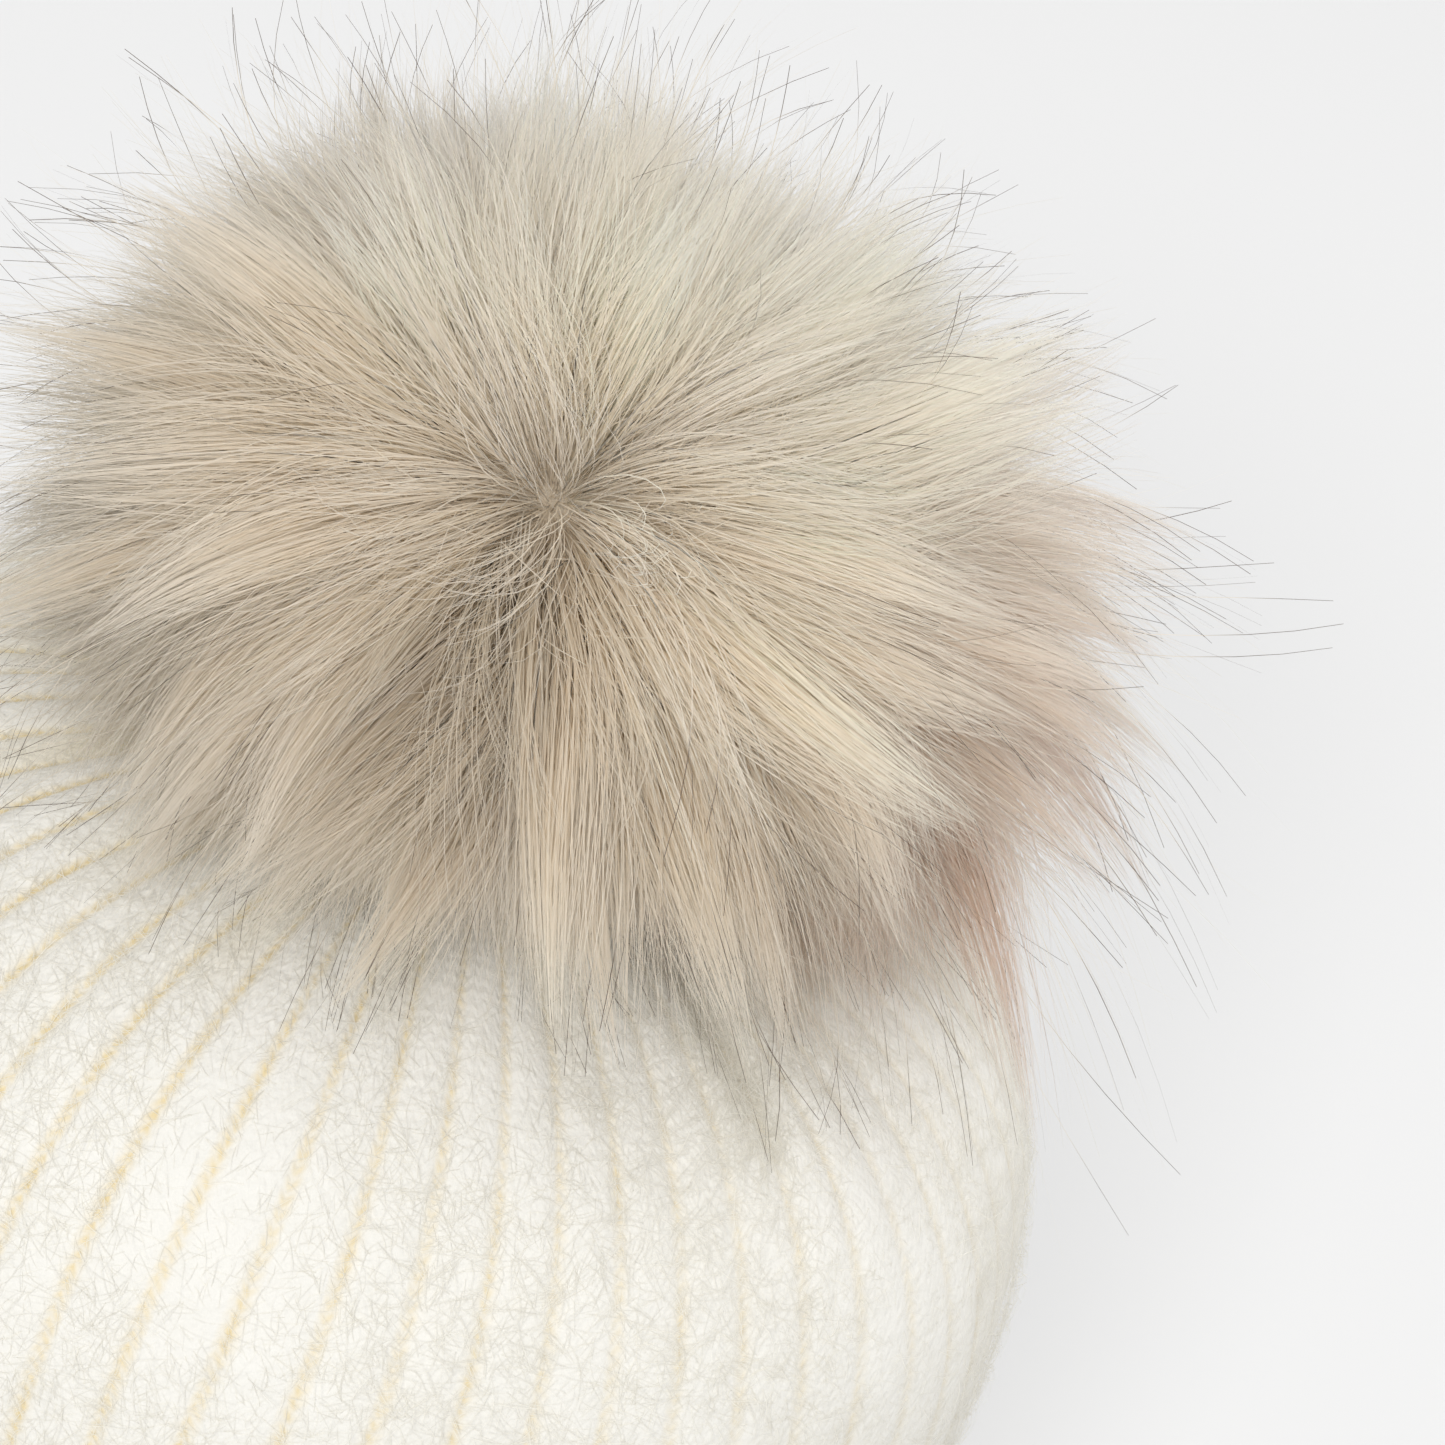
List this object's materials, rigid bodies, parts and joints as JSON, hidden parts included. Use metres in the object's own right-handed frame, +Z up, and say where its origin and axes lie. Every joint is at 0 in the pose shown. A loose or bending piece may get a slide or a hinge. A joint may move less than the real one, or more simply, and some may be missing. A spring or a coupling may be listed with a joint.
{
  "type": "pom pom beanie",
  "caption": "Ribbed knit hat with a turn-up cuff, a gathered crown and a round faux-fur pom that snaps on, leans, spins and pulls off.",
  "frame": {"origin": "centre of the oval rim that the hat stands on, at the rim's level", "axes": "+Z up along the hat's axis to the pom, the wearer faces -Y, +X is to the right of someone facing the front"},
  "size_m": [0.1938, 0.1666, 0.297],
  "materials": {
    "cream_knit": "matte",
    "fleece": "matte",
    "thread": "matte",
    "patch_cloth": "matte",
    "label_tape": "satin",
    "snap_steel": "satin",
    "base_board": "matte",
    "fur_ground": "matte",
    "fibre_fill": "matte",
    "faux_fur": "matte"
  },
  "bodies": {
    "hat": {"knit_body": "cream_knit", "turn_up_cuff": "cream_knit", "lining_band": "fleece", "lining_thread": "thread", "back_seam": "cream_knit", "crown_gather_yarn": "cream_knit", "crown_patch": "patch_cloth", "crown_patch_thread": "thread", "care_label": "label_tape", "care_label_thread": "thread", "cuff_tack_1": "thread", "cuff_tack_2": "thread", "cuff_tack_3": "thread", "cuff_tack_4": "thread"},
    "stud": {"snap_cap": "snap_steel", "snap_stud": "snap_steel"},
    "spring": {"snap_spring": "snap_steel"},
    "socket": {"snap_socket": "snap_steel"},
    "pom": {"snap_back": "snap_steel", "pom_base_disc": "base_board", "pom_backing": "fur_ground", "pom_drawstring": "thread", "pom_stuffing": "fibre_fill", "pom_fur": "faux_fur"}
  },
  "joints": [
    {"name": "pom_sway", "type": "hinge", "parent": "hat", "child": "stud", "pos_m": [0, 0, 0.2028], "axis": [0, 1, 0], "range_deg": [-12, 12], "stiffness_Nm_per_rad": 0.15},
    {"name": "pom_pull_off", "type": "slide", "parent": "stud", "child": "spring", "axis": [0, 0, 1], "range_m": [0, 0.03]},
    {"name": "pom_spin", "type": "hinge", "parent": "spring", "child": "socket", "pos_m": [0, 0, 0.2104], "axis": [0, 0, 1], "continuous": true},
    {"name": "pom_nod", "type": "hinge", "parent": "socket", "child": "pom", "pos_m": [0, 0, 0.2152], "axis": [1, 0, 0], "range_deg": [-12, 12], "stiffness_Nm_per_rad": 0.15}
  ]
}
